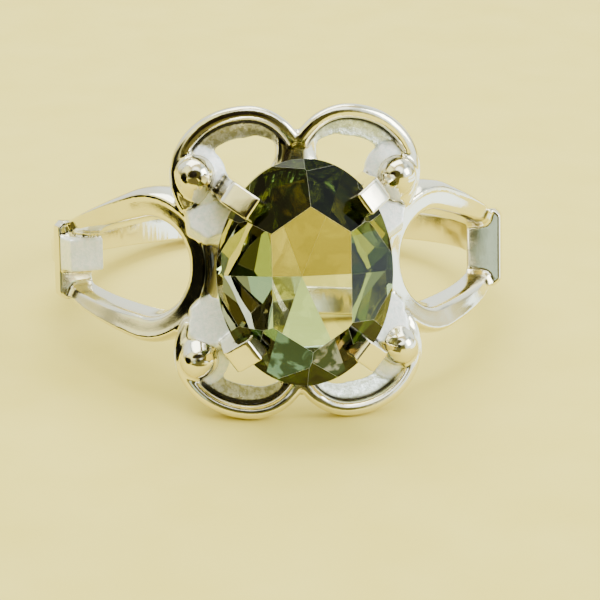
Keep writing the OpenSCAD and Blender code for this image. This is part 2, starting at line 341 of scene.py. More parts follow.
# %% [markdown]
# ## Soft boxes
# The dome lights from all sides, so it gives no shadow with a direction. Two wide soft
# lamps add one: the stronger hangs above and behind the ring, and the other stands in
# front on the right. They are large for their distance, which keeps the shadow soft.

# %% Hang the soft boxes
# Name, place in mm, width and height in mm, watts, colour.
SOFT_BOXES = [
    ("soft_box_above", (-30, 60, 260), (260, 200), 1.1, (0.97, 1.0, 0.97)),
    ("soft_box_right", (230, -130, 130), (140, 150), 0.9, (0.98, 1.0, 1.0)),
]

for name, place, size, watts, colour in SOFT_BOXES:
    lamp = bpy.data.lights.new(name, "AREA")
    lamp.shape = "RECTANGLE"
    lamp.size, lamp.size_y = size[0] * MM, size[1] * MM
    lamp.energy = watts
    lamp.color = colour
    box = as_object(name, lamp)
    box.location = Vector(place) * MM
    box.rotation_euler = (-Vector(place)).to_track_quat("-Z", "Y").to_euler()
    print(name, "shines", watts, "W")

# %% [markdown]
# ## Shapes as rows of points
# Most of the ring is wire and strip, and a strip is easy to describe: a cross-section
# that changes as it travels. The helpers below draw a smooth curve through a few points,
# and sew rows of points into one closed skin. Doing it point by point, rather than with
# bevelled curves, lets the section change its shape along the way.

# %% Helpers for lofted shapes
# Every part of the silver by name, in ring millimetres.
parts = {}


def smooth_through(points, count):
    """Count points on a smooth open curve that passes through the given ones."""
    points = np.array(points, float)
    padded = np.vstack([2 * points[0] - points[1], points, 2 * points[-1] - points[-2]])
    spot = np.linspace(0, len(points) - 1, count)
    first = np.minimum(spot.astype(int), len(points) - 2)
    t = (spot - first)[:, None]
    a, b, c, d = (padded[first + step] for step in range(4))
    curve = 2 * b + (c - a) * t + (2 * a - 5 * b + 4 * c - d) * t**2
    return 0.5 * (curve + (3 * b - a - 3 * c + d) * t**3)


def as_mesh(name, shape):
    """A mesh made of a bmesh, which is used up."""
    mesh = bpy.data.meshes.new(name)
    shape.to_mesh(mesh)
    shape.free()
    return mesh


def keep_part(name, shape):
    """Turns a bmesh into a named part, with its faces turned outward."""
    bmesh.ops.recalc_face_normals(shape, faces=shape.faces)
    parts[name] = as_mesh(name, shape)
    print(name, "has", len(parts[name].polygons), "faces")


def sewn(rows, closed=False):
    """A skin through rows of points, each a closed section. Its ends are capped or joined."""
    shape = bmesh.new()
    rings = [[shape.verts.new(point) for point in row] for row in rows]
    around = len(rings[0])
    for lower, upper in zip(rings, rings[1:] + (rings[:1] if closed else [])):
        for i in range(around):
            j = (i + 1) % around
            shape.faces.new((lower[i], lower[j], upper[j], upper[i]))
    if not closed:
        shape.faces.new(rings[0])
        shape.faces.new(rings[-1])
    return shape


def placed(shape, matrix):
    """The bmesh itself, after a matrix has moved, turned or flipped it."""
    bmesh.ops.transform(shape, matrix=matrix, verts=shape.verts)
    return shape


def mirrored(shape, across_x, across_z):
    """The bmesh itself, reflected to another side of the head."""
    return placed(shape, Matrix.Diagonal((-1 if across_x else 1, 1, -1 if across_z else 1, 1)))


def in_corners(name, make):
    """Makes a part in each of the head's four corners."""
    for across_x in (False, True):
        for across_z in (False, True):
            corner = ("l" if across_x else "r") + ("b" if across_z else "t")
            keep_part(f"{name}_{corner}", mirrored(make(across_x, across_z), across_x, across_z))


# %% [markdown]
# ## Band
# The finger band is one bar of rounded wire, bent round a mandrel. It stops short of the
# head on both sides. Its inner face starts a little inside the finger hole, because the
# hole is cut true once all is soldered, as it would be reamed on the bench.

# %% Bend the band
# Turn in degrees from the head's middle to the collars, where the band ends.
collar_angle = 69.5
# Extra metal on the inside, which the drilling takes off.
allowance = 0.3
band_rise, band_w, band_corner, band_crown = 1.2, 1.3, 0.22, 0.015
# The band lies a little below the middle of the head.
band_drop = 0.2


def eased(rise, width, corner, *crown):
    """A bar on the finger with its outer corners eased, as distance out and height."""
    inner, outer, half = finger_r - allowance, finger_r + rise, width / 2
    return [
        (inner, -half), (outer - corner, -half), (outer, corner - half), *crown,
        (outer, half - corner), (outer - corner, half), (inner, half),
    ]


def band(steps=180):
    crown = (finger_r + band_rise + band_crown, 0)
    section = eased(band_rise, band_w, band_corner, crown)
    rows = []
    for turn in np.radians(np.linspace(collar_angle, 360 - collar_angle, steps) - 90):
        rows.append([(r * cos(turn), r * sin(turn), z - band_drop) for r, z in section])
    return sewn(rows)


keep_part("band", band())

# %% [markdown]
# ## Collars
# Where each shoulder loop meets the band there is a thin plate across both of its ends.
# It is a rectangle of sheet with its corners eased, soldered on edge. On the left the
# band's end stands through the collar as a small block, filed flat. Both are one outline
# given a thickness, which keeps their edges as crisp as sawn metal.

# %% Cut the collars
collar_t, collar_l, collar_rise, collar_corner = 0.7, 3.4, 1.5, 0.25
collar_drop = 0.3
block_w, block_rise = 1.4, 1.42
block_start, block_end = -1.15, 0.35


def on_edge(outline, drop, low, high, across_x):
    """A plate across the band: its outline out and up, between two places along it."""
    shape = sewn([[(x, -out, z - drop) for out, z in outline] for x in (low, high)])
    return mirrored(placed(shape, turned(collar_angle, "Z")), across_x, False)


def collar(across_x):
    outline = eased(collar_rise, collar_l, collar_corner)
    return on_edge(outline, collar_drop, 0, collar_t, across_x)


def end_block():
    inner, outer, half = finger_r - allowance, finger_r + block_rise, block_w / 2
    outline = [(inner, -half), (outer, -half), (outer, half), (inner, half)]
    return on_edge(outline, 0, block_start, block_end, True)


keep_part("collar_right", collar(False))
keep_part("collar_left", collar(True))
keep_part("end_block", end_block())

# %% [markdown]
# ## Shoulder loops
# Each shoulder is a drop-shaped loop of half-round wire. Its two arms run from the collar,
# widen, and join in a round bow beside the stone. The outer and the inner outline are
# both a round end with straight sides. The section between them has a soft ridge near
# the outside and then a flat face, which mirrors one thing at a time. That is why the
# left bow shows a clean black band and the right bow a white one.

# %% Forge the shoulder loops
# How far the loop stands off the finger, at its bow and at the collar.
loop_rise, arm_rise = 1.6, 1.1
# Round end's radius, taper of the sides in degrees, round end's middle along the band.
bow_r, bow_taper, bow_middle = 3.25, 15.5, (6.75, 0)
hole_r, hole_taper, hole_middle = 1.9, 9, (6.7, -0.05)
face_r = finger_r + loop_rise
loop_end = radians(collar_angle) * face_r + allowance

# Share of the arm's width from the outside, share of the arm's rise.
ARM_SECTION = smooth_through(
    [(0, 0.42), (0.05, 0.76), (0.2, 1), (0.36, 0.96), (0.6, 0.9), (0.82, 0.82), (0.94, 0.58),
     (1, 0.1)], 26
)


def drop_outline(round_r, taper, middle, arc_steps=72, side_steps=22):
    """Half sides and round end of a drop, as distance round the ring and place along it."""
    half_arc = radians(90 - taper)
    touch = np.array([middle[0] + round_r * cos(half_arc), round_r * sin(half_arc)])
    run = loop_end - touch[0]
    share = np.linspace(1, 0, side_steps, endpoint=False)[:, None]
    side = touch + share * [run, -run * tan(radians(taper))]
    turn = np.linspace(-half_arc, half_arc - 2 * pi, arc_steps)
    arc = np.array(middle) + round_r * np.column_stack([np.cos(turn), np.sin(turn)])
    lower = side * [1, -1] + [0, middle[1]]
    upper = side[::-1] + [0, middle[1]]
    return np.vstack([lower, arc, upper])


def shoulder_loop():
    """The arm's section, carried from collar to collar round the bow."""
    outer = drop_outline(bow_r, bow_taper, bow_middle)
    inner = drop_outline(hole_r, hole_taper, hole_middle)
    start = bow_middle[0] - bow_r
    rows = []
    for out, hole in zip(outer, inner):
        t = (out[0] - start) / (loop_end - start)
        rise = loop_rise + (arm_rise - loop_rise) * t
        profile = [(0, -allowance / rise)] + [tuple(p) for p in ARM_SECTION]
        profile.append((1, -allowance / rise))
        row = []
        for share, up in profile:
            along, z = out + (hole - out) * share
            r = finger_r + rise * up
            turn = along / face_r
            row.append((r * sin(turn), -r * cos(turn), z - collar_drop * t))
        rows.append(row)
    return sewn(rows)


keep_part("loop_right", shoulder_loop())
keep_part("loop_left", mirrored(shoulder_loop(), True, False))

# %% [markdown]
# ## Scrolled frame
# Round the stone runs a frame of four lobes. Each has a round rim outside and a thin
# dished face inside it, and tapers to a curl beside its ball. The dish meets the rim in
# a sharp valley, which the photograph shows as a black line. The section is drawn once
# and swept round an ellipse, growing and shrinking through a few named stations.

# %% Sweep the lobes
frame_out, frame_bend = 10.3, 0.9
frame_side, frame_bottom, frame_top = 5.1, 6.2, 6.5
crest_x, lobe_inner, lobe_rise = 2.0, 2.5, 2.65
# Rim's width and rise, and how flat its crest is: 1 is a round wave, 0 a square bar.
rim_w, rim_rise, rim_flatness = 0.58, 0.5, 0.35
RIM_STEPS, VALLEY_STEPS, DISH_STEPS = 15, 2, 8

# Angle round the lobe, its full width, the rim's height.
LOBE_STATIONS = np.array([
    (-32, 0.6, 0.55), (-5, 0.8, 0.75), (20, 1.1, 0.9), (50, 1.35, 1),
    (90, 1.35, 1), (128, 1.05, 0.95), (150, 0.8, 0.75),
])


def bend_at(x):
    """How far the frame curves back with the finger at a place across it."""
    return frame_bend * (x / frame_side) ** 2


def lobe_section(dish, tall):
    """Distance in from the outer edge, distance behind the frame's middle."""
    rim = [
        (rim_w / 2 - rim_w / 2 * cos(t), -rim_rise * tall * sin(t) ** rim_flatness)
        for t in np.linspace(0, pi, RIM_STEPS)
    ]
    valley = [(rim_w + 0.005, 0.0), (rim_w + 0.02, 0.05)]
    bowl = [
        (rim_w + dish * t, 0.06 + 0.2 * t + 0.09 * sin(pi * t))
        for t in np.linspace(0.12, 1, DISH_STEPS)
    ]
    back = [(rim_w + dish * 0.97, 0.4), (rim_w + dish * 0.6, 0.5), (rim_w / 2, 0.52), (0.06, 0.4)]
    return rim + valley + bowl + back


def lobe(across_x, across_z, steps=70):
    rows = []
    # The upper lobes are taller: half of the extra lifts them, half stretches them.
    extra = 0 if across_z else (frame_top - frame_bottom) / 2
    rise, middle = lobe_rise + extra, frame_bottom - lobe_rise + extra
    angles, widths, heights = LOBE_STATIONS.T
    for angle in np.linspace(angles[-1], angles[0], steps):
        half = lobe_inner if angle > 90 else frame_side - crest_x
        turn = radians(angle)
        edge = np.array([crest_x + half * cos(turn), middle + rise * sin(turn)])
        inward = -np.array([cos(turn) / half, sin(turn) / rise])
        inward /= np.linalg.norm(inward)
        width = np.interp(angle, angles, widths)
        tall = np.interp(angle, angles, heights)
        row = []
        for across, behind in lobe_section(max(width - rim_w, 0.1), tall):
            x, z = edge + inward * across
            row.append((x, -frame_out + bend_at(x) + behind, z))
        rows.append(row)
    return sewn(rows)


in_corners("lobe", lobe)

# %% [markdown]
# ## Curls
# Each lobe's end is rolled up with pliers until it is nearly solid, so it looks like a
# flat disc with a sloped edge. A spiral of wire would be truer, but the welding below
# would melt its turns into one another.

# %% Curl the scroll ends
curl_middle = Vector((3.95, 3.7, 0))
curl_sink = 0.05
# Back and front radius, thickness and middle height, for the disc and its sloped edge.
CURL_DISCS = [((1.14, 1.14), 0.43, -0.235), ((1.14, 0.6), 0.22, 0.09)]


def facing(shape, out):
    """Turns a flat shape's x and y into ring X and Z, this far in front of the finger axis."""
    return placed(shape, Matrix.Translation((0, -out, 0)) @ turned(90, "X"))


def curl(across_x, across_z):
    shape = bmesh.new()
    for (back_r, front_r), depth, middle in CURL_DISCS:
        disc = bmesh.ops.create_cone(
            shape, cap_ends=True, segments=64, radius1=back_r, radius2=front_r, depth=depth
        )
        place = curl_middle + Vector((0, 0, middle))
        bmesh.ops.translate(shape, verts=disc["verts"], vec=place)
    return facing(shape, frame_out - bend_at(curl_middle[0]) - curl_sink)


in_corners("curl", curl)

# %% [markdown]
# ## Webs
# A small web of solder fills the corner between curl, loop and claw, and is filed flat.
# It is an outline with a thickness. Its face is tipped a little upward in every corner,
# so that all four webs catch the bright sky and look white, as in the photograph.

# %% Fill in the webs
WEB_OUTLINE = [(2.45, 2.9), (3.3, 3.3), (4.5, 2.8), (4.35, 1.6), (3.7, 1.1), (2.6, 1.5)]
web_out, web_back, web_front = 8.9, -0.5, 0.95
web_tip = 22
web_pivot = Vector((3.5, 2.1, web_front))


def extruded(outline, low, high):
    return sewn([[(x, y, level) for x, y in outline] for level in (low, high)])


def web(across_x, across_z):
    shape = extruded(WEB_OUTLINE, web_back, web_front)
    turn = turned(web_tip if across_z else -web_tip, "X")
    tipped = Matrix.Translation(web_pivot) @ turn @ Matrix.Translation(-web_pivot)
    return facing(placed(shape, tipped), web_out)


in_corners("web", web)

# %% [markdown]
# ## Balls
# The balls are grains melted on charcoal, so they are nearly round but sag a little
# towards their foot. A plain sphere would look machined, so the lower half of each is
# drawn out towards the solder joint.

# %% Melt the balls
ball_r, ball_across, ball_out, ball_up = 0.77, 4.1, 9.95, 3.6
ball_foot = Vector((4.15, -9.15, 2.4))
# How much further from the middle each ball sits, by left or not and below or not.
BALL_SHIFTS = {(False, False): -0.05, (True, False): 0.15, (False, True): -0.15, (True, True): 0.15}


def ball(across_x, across_z, overlap=0.9, taper=0.12):
    centre = Vector((ball_across, -ball_out, ball_up + BALL_SHIFTS[across_x, across_z]))
    reach = ball_foot - centre
    shape = bmesh.new()
    bmesh.ops.create_uvsphere(shape, u_segments=48, v_segments=32, radius=ball_r)
    for vert in shape.verts:
        low = max(0, -vert.co.z / ball_r)
        vert.co.z *= 1 + low * (reach.length / ball_r - overlap)
        vert.co.x *= 1 - taper * low
        vert.co.y *= 1 - taper * low
    turn = reach.to_track_quat("-Z", "Y").to_matrix().to_4x4()
    return placed(shape, Matrix.Translation(centre) @ turn)


in_corners("ball", ball)

# %% [markdown]
# ## The stone, cut flat by flat
# The stone is a pale, smoky-green quartz. Its table is a long hexagon, six broad facets
# slope from it, and small ones trim the edge. A lapidary grinds one flat at a time on an
# oval blank. The script does the same: it slices an oval drum with one plane for each
# facet. Every facet is then truly flat, which matters because the light bends at each.

# %% Cut the stone
stone_half = (3.5, 4.5)
girdle_out = 12.45
crown_h, pavilion_h, girdle_t = 1.45, 2.6, 0.16
table_w, table_l, table_side = 3.1, 5.7, 0.32
table_middle = np.array([0.11, -0.11])
culet = np.array([0, -0.3])
# Lean of the narrow facets from level: on the crown, on its lowest stretch, on the pavilion.
rim_lean, low_rim_lean, pavilion_rim_lean = 47, 43, 52
lowest_stretch = range(221, 320)


def way(turn):
    """Unit vector at an angle in degrees, in the plane of the girdle."""
    return np.array([cos(radians(turn)), sin(radians(turn))])


def reach_to_edge(turn):
    """Distance from the stone's middle to its edge, for a facet turned to an angle."""
    return float(np.linalg.norm(np.array(stone_half) * way(turn)))


def edge_turn(place):
    """Angle that the oval's edge faces at a place on it."""
    across, up = way(place)
    return degrees(atan2(up / stone_half[1], across / stone_half[0]))


def facet_plan():
    """Each facet: its turn, its lean from level, and whether it is on the crown."""
    side_half = table_l * table_side
    bevel = degrees(atan2(table_w / 2, table_l / 2 - side_half))
    bevel_reach = table_l / 2 * sin(radians(bevel))
    mains = [(turn, table_w / 2) for turn in (0, 180)]
    mains += [(turn, bevel_reach) for turn in (bevel, 180 - bevel, 180 + bevel, -bevel)]
    plan = []
    for turn, table_edge in mains:
        run = reach_to_edge(turn) - table_edge - table_middle @ way(turn)
        plan.append((turn, degrees(atan2(crown_h - girdle_t / 2, run)), True))
    # Six broad facets on the pavilion, then twelve narrow ones on each side of the girdle.
    for turn in range(30, 360, 60):
        run = reach_to_edge(turn) - culet @ way(turn)
        plan.append((turn, degrees(atan2(pavilion_h - girdle_t / 2, run)), False))
    for place in range(15, 360, 30):
        crown_lean = low_rim_lean if place in lowest_stretch else rim_lean
        plan.append((edge_turn(place), crown_lean, True))
        plan.append((edge_turn(place), pavilion_rim_lean, False))
    return plan


def cut_stone(grow=0.0, around=120):
    """The stone, or with grow the room that it needs in its setting."""
    drum = oval(stone_half[0] + grow, stone_half[1] + grow, around)
    shape = extruded(drum, -pavilion_h - grow, crown_h + grow)
    for turn, lean_angle, crown in facet_plan():
        up = 1 if crown else -1
        outermost = way(turn) * reach_to_edge(turn)
        tilt = radians(lean_angle)
        normal = Vector((*(way(turn) * sin(tilt)), up * cos(tilt)))
        touch = Vector((*outermost, up * girdle_t / 2)) + normal * grow
        everything = [*shape.verts, *shape.edges, *shape.faces]
        bmesh.ops.bisect_plane(
            shape, geom=everything, plane_co=touch, plane_no=normal, clear_outer=True, dist=1e-5
        )
        rim = [edge for edge in shape.edges if edge.is_boundary]
        if rim:
            bmesh.ops.edgeloop_fill(shape, edges=rim)
    bmesh.ops.remove_doubles(shape, verts=shape.verts, dist=1e-4)
    bmesh.ops.recalc_face_normals(shape, faces=shape.faces)
    return shape


stone_shape = cut_stone()
print("stone has", len(stone_shape.faces), "faces, volume", round(stone_shape.calc_volume(), 1))

# %% [markdown]
# ## Claws
# Four square claws are bent in over the stone. Each is a strip cut from the side view
# below: up from the frame, over the girdle, then along the crown to a sloping end. A
# setter bends each one by hand, so a table gives each its own place and reach.

# %% Shape the claws
claw_w, claw_outside, claw_top, claw_slope = 0.98, 0.6, 1.45, 0.45
claw_reach = 0.95

# Name, left or not, below or not, place on the oval in degrees, share of the full reach.
CLAWS = [
    ("claw_rt", False, False, 42, 0.9),
    ("claw_lt", True, False, 42, 1.05),
    ("claw_rb", False, True, 46, 0.9),
    ("claw_lb", True, True, 43, 0.95),
]


def claw_side(share):
    """Side view: distance out from the stone's edge, height above the girdle."""
    tip = claw_reach * share
    return [
        (-0.5, -2.95), (claw_outside - 0.05, -2.95), (claw_outside, 0.55),
        (claw_outside - 0.07, 0.78), (claw_outside - 0.2, 0.9), (claw_slope - tip, claw_top),
        (0.04 - tip, claw_top - claw_slope), (-tip, claw_top - claw_slope - 0.1),
        (-tip, 0.3), (-0.5, -0.3),
    ]


def claw(place, share):
    shape = extruded(claw_side(share), -claw_w / 2, claw_w / 2)
    foot = Vector((*(way(place) * stone_half), 0))
    stand = Matrix.Translation(foot) @ turned(edge_turn(place), "Z") @ turned(90, "X")
    return facing(placed(shape, stand), girdle_out)


for name, across_x, across_z, place, share in CLAWS:
    keep_part(name, mirrored(claw(place, share), across_x, across_z))

# %% [markdown]
# ## Seat
# Under the stone lies an oval rail, and two flared stems join it to the scrolls. Little
# of it shows, so this is the plain seat that such a setting usually has. The rail is a
# strip sewn into a closed ring, and the stems widen towards both joints, as solder does.

# %% Lay the seat
rail_inset, rail_w, rail_t = 0.65, 0.6, 0.7
seat_out = 9.75
stem_side, stem_crown, stem_back = 0.16, 0.5, -0.1
stem_top, stem_bottom, stem_foot_half = 5.5, 5.25, 0.95
# Half width of a stem at places along the finger, up to where it joins the scrolls.
STEM_SIDE = [(1.6, 3.45), (1.25, 3.75), (0.98, 4.1), (0.86, 4.5), (0.86, 4.9)]


def oval_ring(outer, inner, low, high, around=96):
    """A flat oval ring between two outlines, given by their half width and half length."""
    rows = [
        [(*out, low), (*out, high), (*hole, high), (*hole, low)]
        for out, hole in zip(oval(*outer, around), oval(*inner, around))
    ]
    return sewn(rows, closed=True)


def stem(joint):
    rows = []
    for half, along in smooth_through([*STEM_SIDE, (stem_foot_half, joint)], 20):
        front = [
            (half * cos(t), stem_side + stem_crown * sin(t))
            for t in np.linspace(0, pi, 13)
        ]
        section = [(half, stem_back), *front, (-half, stem_back)]
        rows.append([(x, along, up) for x, up in section])
    return facing(sewn(rows), seat_out)


rail_outer = [half - rail_inset for half in stone_half]
rail_inner = [half - rail_w for half in rail_outer]
keep_part("seat_rail", facing(oval_ring(rail_outer, rail_inner, 0, rail_t), seat_out))
keep_part("stem_top", stem(stem_top))
keep_part("stem_bottom", mirrored(stem(stem_bottom), False, True))

# %% [markdown]
# ## Soldering
# On the real ring every joint is filled by solder that creeps into the corner and leaves
# a small hollow fillet. A voxel remesh welds all parts into one skin. Swelling that skin
# by the fillet's radius, remeshing, and shrinking it again leaves each inner corner
# filled and everything else as it was. Bevels would need every seam to be found by hand.

# %% Helpers for welding
def with_modifiers(mesh, *modifiers):
    """A new mesh after the given modifiers, each a kind and its settings."""
    thing = as_object("at_work", mesh)
    for kind, settings in modifiers:
        modifier = thing.modifiers.new(kind.lower(), kind)
        for name, value in settings.items():
            setattr(modifier, name, value)
    depsgraph = bpy.context.evaluated_depsgraph_get()
    done = bpy.data.meshes.new_from_object(thing.evaluated_get(depsgraph))
    bpy.data.objects.remove(thing)
    return done


def remeshed(mesh, voxel):
    """One closed skin round everything, built of squares of this size."""
    return with_modifiers(mesh, ("REMESH", {"mode": "VOXEL", "voxel_size": voxel}))


def smoothed(mesh, times, factor=0.5):
    return with_modifiers(mesh, ("SMOOTH", {"factor": factor, "iterations": times}))


def points_of(mesh):
    flat = np.empty(len(mesh.vertices) * 3)
    mesh.vertices.foreach_get("co", flat)
    return flat.reshape(-1, 3)


def normals_of(mesh):
    flat = np.empty(len(mesh.vertices) * 3)
    mesh.vertex_normals.foreach_get("vector", flat)
    return flat.reshape(-1, 3)


def moved(mesh, points):
    copy = mesh.copy()
    copy.vertices.foreach_set("co", points.ravel())
    copy.update()
    return copy


def swollen(mesh, amount):
    """The mesh grown outward, or inward where the amount is negative."""
    return moved(mesh, points_of(mesh) + amount * normals_of(mesh))


def tree_of(mesh):
    """A mesh ready for the nearest point on it to be found."""
    return BVHTree.FromPolygons(
        [vert.co for vert in mesh.vertices], [poly.vertices[:] for poly in mesh.polygons]
    )


def cut_away(mesh, tool):
    """The mesh without the space that the tool takes up."""
    cutter = as_object("cutter", tool)
    settings = {"operation": "DIFFERENCE", "solver": "MANIFOLD", "object": cutter}
    done = with_modifiers(mesh, ("BOOLEAN", settings))
    bpy.data.objects.remove(cutter)
    return done


def joined(meshes):
    """Several meshes in one, still separate shells."""
    shape = bmesh.new()
    for mesh in meshes:
        shape.from_mesh(mesh)
    return as_mesh("joined", shape)


def settled(mesh, onto, near=0.02, far=0.05):
    """Lays a skin back on an older one, except where solder has filled a corner."""
    tree = tree_of(onto)
    points = points_of(mesh)
    for i, point in enumerate(points):
        place, _, _, away = tree.find_nearest(point)
        share = min(1, max(0, (far - away) / (far - near)))
        points[i] += share * (np.array(place) - point)
    return moved(mesh, points)


# %% Weld the silver
voxel = 0.055
fillet_r = 0.09
stone_play = 0.06


def finger_drill(length=14):
    shape = bmesh.new()
    bmesh.ops.create_cone(
        shape, cap_ends=True, segments=360, radius1=finger_r, radius2=finger_r, depth=length
    )
    return as_mesh("finger_drill", shape)


def stone_room():
    """The space of the stone with a little play round it."""
    return as_mesh("stone_room", facing(cut_stone(stone_play, around=60), girdle_out))


silver = remeshed(joined(parts.values()), voxel)
print("welded skin:", len(silver.polygons), "faces")
silver = smoothed(silver, times=2)
silver = cut_away(silver, finger_drill())
silver = cut_away(silver, stone_room())
silver = drilled = remeshed(silver, voxel)
print("drilled skin:", len(silver.polygons), "faces")
silver = smoothed(remeshed(swollen(silver, fillet_r), voxel), times=3)
silver = smoothed(swollen(silver, -fillet_r), times=3)
silver = smoothed(settled(silver, drilled), times=2)
print("filleted skin:", len(silver.polygons), "faces")

# %% [markdown]
# ## Tarnish, painted shade and rough faces
# Polishing reaches the crests and leaves the hollows. Three masks, kept with the mesh,
# say where. One holds tarnish where it stays, in the hollows and at the collars' seams,
# and painted shade: a dark line along the valley of each scroll, and a darkening on the
# back of the loops where they pass by the head. One marks the dished faces of the
# scrolls, which keep the grain of the casting, and one the parts that were only filed.
# They could be painted by hand, but measured from the parts they follow every change of
# shape.

# %% Helpers for masks
def thinned(mesh, triangles):
    ratio = triangles / (2 * len(mesh.polygons))
    return with_modifiers(mesh, ("DECIMATE", {"ratio": min(1, ratio)}))


def write_mask(mesh, name, values):
    mask = mesh.attributes.new(name, "FLOAT", "POINT")
    mask.data.foreach_set("value", np.clip(values, 0, 1).astype(np.float32))


def parts_named(kind):
    return [mesh for name, mesh in parts.items() if name.startswith(kind)]


def nearness(mesh, tree, full, none):
    """1 for points within the full distance of the tree, falling to 0."""
    away = [tree.find_nearest(p, none)[3] for p in points_of(mesh)]
    away = np.array([none if d is None else d for d in away])
    return (none - away) / (none - full)


def hollow_depth(mesh, rounds=24, head_half=7, fade=0.6):
    """How far heavy smoothing would lift each point of the head out of the dip it lies in, in mm."""
    points = points_of(mesh)
    lifted = points_of(smoothed(mesh, rounds)) - points
    in_head = np.clip((head_half - np.abs(points[:, 0])) / fade, 0, 1)
    return in_head * np.einsum("ij,ij->i", lifted, normals_of(mesh))


def seam_depth(mesh, seam_half=0.08, steepest=0.7):
    """High on the line where each loop's arms are soldered to their collar."""
    points, normals = points_of(mesh), normals_of(mesh)
    across, forward = way(collar_angle)
    side = np.sign(points[:, 0])
    along = points[:, 0] * side * across + points[:, 1] * forward
    square_on = np.abs(normals[:, 0] * side * across + normals[:, 1] * forward)
    on_arm = (points[:, 1] < 0) & (square_on < steepest)
    return np.where(on_arm, 1 - np.abs(along) / seam_half, 0)


def painted_shade_beside_head(mesh, head_half=3.95, fade=0.25):
    """Painted shade, high on the back of each loop where it passes close by the head."""
    share = np.clip((head_half - np.abs(points_of(mesh)[:, 0])) / fade, 0, 1)
    loops = tree_of(joined(parts_named("loop")))
    return share * nearness(mesh, loops, full=0.03, none=0.08)


def lobe_strips(columns):
    """Some columns of the four lobes' sections, as thin sheets to measure from."""
    section_points = len(lobe_section(1, 1))
    points, faces = [], []
    for mesh in parts_named("lobe"):
        co = points_of(mesh).reshape(-1, section_points, 3)[:, columns]
        start, rows, across = len(points), *co.shape[:2]
        points += [Vector(p) for p in co.reshape(-1, 3)]
        for i in range(rows - 1):
            for j in range(across - 1):
                a = start + i * across + j
                faces.append((a, a + 1, a + across + 1, a + across))
    return BVHTree.FromPolygons(points, faces)


# %% Thin the mesh and mark tarnish, painted shade and rough faces
silver_triangles = 190_000
full_hollow = 0.09
# The painted shade along the valley of each scroll is strong on the left and faint on the right.
valley_shade_left, valley_shade_right = 2.0, 0.55
DISH_START = RIM_STEPS + VALLEY_STEPS
VALLEY_POINTS = slice(RIM_STEPS - 1, DISH_START)
DISH_POINTS = slice(DISH_START, DISH_START + DISH_STEPS)
# How rough the file left each kind of part.
FILED = {"end_block": 1.0, "curl": 1.0, "web": 0.85}

silver = thinned(silver, silver_triangles)
# Painted shade: a dark line along the valley of each scroll.
painted_valley_shade = nearness(silver, lobe_strips(VALLEY_POINTS), full=0.12, none=0.2)
painted_valley_shade *= np.where(points_of(silver)[:, 0] < 0, valley_shade_left, valley_shade_right)
# Tarnish in the hollows and at the collars' seams, and painted shade along each scroll's valley and
# on the loops beside the head, in one mask.
hollows = [hollow_depth(silver) / full_hollow, seam_depth(silver), painted_valley_shade, painted_shade_beside_head(silver)]
write_mask(silver, "tarnish_and_painted_shade_mask", np.max(hollows, axis=0))
write_mask(silver, "dish", nearness(silver, lobe_strips(DISH_POINTS), full=0.04, none=0.1))
filed = [
    share * nearness(silver, tree_of(joined(parts_named(kind))), full=0.02, none=0.05)
    for kind, share in FILED.items()
]
write_mask(silver, "filed", np.max(filed, axis=0))
print("thinned skin:", len(silver.polygons), "faces")

# %% [markdown]
# ## Silver finish
# Polished silver is a mirror with a warm tint. What makes it look handled are faint
# scratches from wear, a soft waviness left by the file, and dull brownish tarnish in the
# hollows, with painted shade along each scroll's valley and on the loops beside the head.
# Each is a noise at its own scale, mixed into colour, roughness or bump where its mask
# says. The dished faces are greyer and grainy, with painted light: darker and warmer on
# the left, paler and bluer on the right. Filed faces scatter light like frost, so they are
# less metallic and nearly white, and pale blue as a painted sky reflection. A picture of
# scratched metal would be quicker, but its grain would have no true size.

# %% Helpers for finishes
def in_mm(tree):
    """Places on a piece in millimetres, so that the noise scales are per millimetre."""
    return scaled(tree, add_node(tree, "TexCoord").outputs["Object"], 1 / MM)


def mask(tree, name):
    """A mask that is kept with the mesh."""
    return add_node(tree, "Attribute", {"attribute_name": name}).outputs["Fac"]


def worked_out(tree, operation, *values):
    """One step of arithmetic: on two values, or a product and what is added to it."""
    sockets = {f"_{i}": value for i, value in enumerate(values)}
    return add_node(tree, "Math", {"operation": operation}, **sockets).outputs[0]


def relief(tree, height, strength, depth, **under):
    """A bump of this depth in mm, over another one if that is given as Normal."""
    bump = add_node(tree, "Bump", Height=height, Strength=strength, Distance=depth * MM, **under)
    return bump.outputs["Normal"]


# %% Mix the silver
POLISHED = (0.82, 0.77, 0.58, 1)
# Tarnish in the hollows and at the seams, and painted shade along each scroll's valley and on the
# loops beside the head.
TARNISH_AND_PAINTED_SHADE = (0.03, 0.027, 0.018, 1)
# Dark and light tone of the grain, with painted light in them: darker and warmer on the
# left, paler and bluer on the right as a painted sky reflection.
CAST_PAINTED_SHADE_LEFT = (0.40, 0.37, 0.20, 1), (0.70, 0.68, 0.48, 1)
CAST_PAINTED_SKY_RIGHT = (0.52, 0.58, 0.50, 1), (0.84, 0.92, 0.90, 1)
# Frost of the file, with painted light: nearly white and pale blue, a painted sky reflection.
FROST_AND_PAINTED_SKY = (0.80, 0.88, 0.88, 1), (1.0, 1.0, 1.0, 1)
SCRATCH_STRETCH, SCRATCH_TURN = (6, 40, 9), (0.3, 0.5, 0.4)
# Roughness that dished and filed faces add, and how metallic a filed face stays.
DISH_ROUGHNESS, FILED_ROUGHNESS, FILED_METAL = 0.22, 0.32, 0.35


